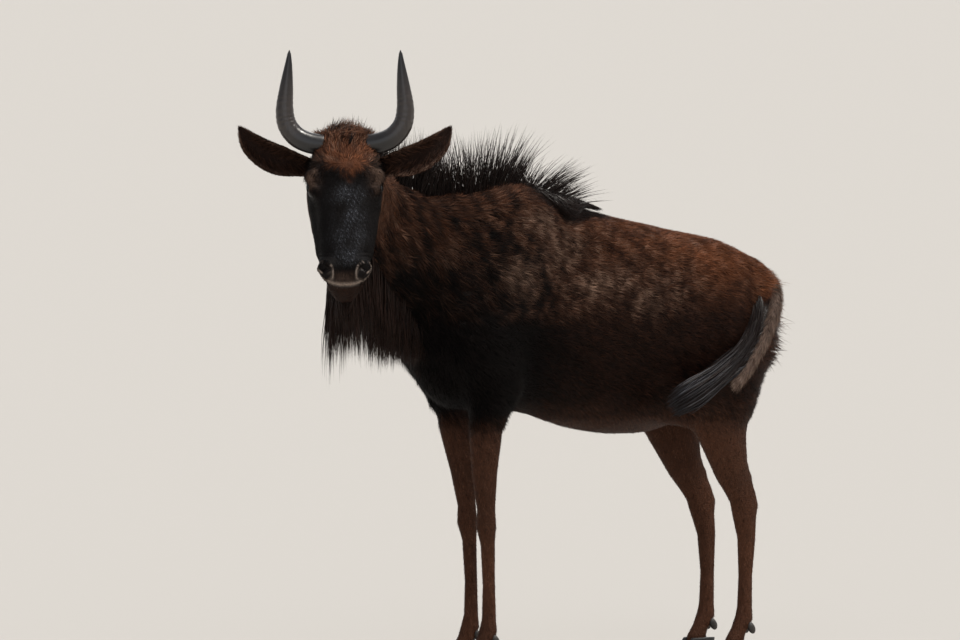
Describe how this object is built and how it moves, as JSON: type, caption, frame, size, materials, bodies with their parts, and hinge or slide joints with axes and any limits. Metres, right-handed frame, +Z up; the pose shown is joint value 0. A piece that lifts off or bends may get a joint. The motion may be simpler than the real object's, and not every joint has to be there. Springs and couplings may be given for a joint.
{
  "type": "young blue wildebeest, standing, still model",
  "caption": "Life-size still model of a young wildebeest standing with its head turned to its left, short upright horns, dark mane and beard, and the tail swung round its left thigh.",
  "frame": {"origin": "on the floor, under the middle of the whole outline's box", "axes": "+Z up; the body faces -Y; the animal's left side is +X; the head is turned 55 degrees to its left"},
  "size_m": [0.443, 1.478, 1.4424],
  "materials": {
    "coat": "short matt fur, dark brown with rufous back and black face",
    "long_hair": "long black hair of mane, beard and tail",
    "horn": "satin dark grey keratin, polished at the base",
    "hoof": "satin black keratin",
    "eye": "wet glossy dark brown"
  },
  "bodies": {
    "root": {"head": "coat", "neck": "coat", "leg_front_left": "coat", "leg_hind_left": "coat", "leg_front_right": "coat", "leg_hind_right": "coat", "trunk": "coat", "horn_left": "horn", "ear_left": "coat", "horn_right": "horn", "ear_right": "coat", "mane": "long_hair", "beard": "long_hair", "tail": "coat", "tail_hair": "long_hair", "eye_left": "eye", "eye_right": "eye", "hoof_front_left_outer": "hoof", "dewclaw_front_left_outer": "hoof", "hoof_front_left_inner": "hoof", "dewclaw_front_left_inner": "hoof", "hoof_hind_left_outer": "hoof", "dewclaw_hind_left_outer": "hoof", "hoof_hind_left_inner": "hoof", "dewclaw_hind_left_inner": "hoof", "hoof_front_right_outer": "hoof", "dewclaw_front_right_outer": "hoof", "hoof_front_right_inner": "hoof", "dewclaw_front_right_inner": "hoof", "hoof_hind_right_outer": "hoof", "dewclaw_hind_right_outer": "hoof", "hoof_hind_right_inner": "hoof", "dewclaw_hind_right_inner": "hoof"}
  },
  "joints": []
}
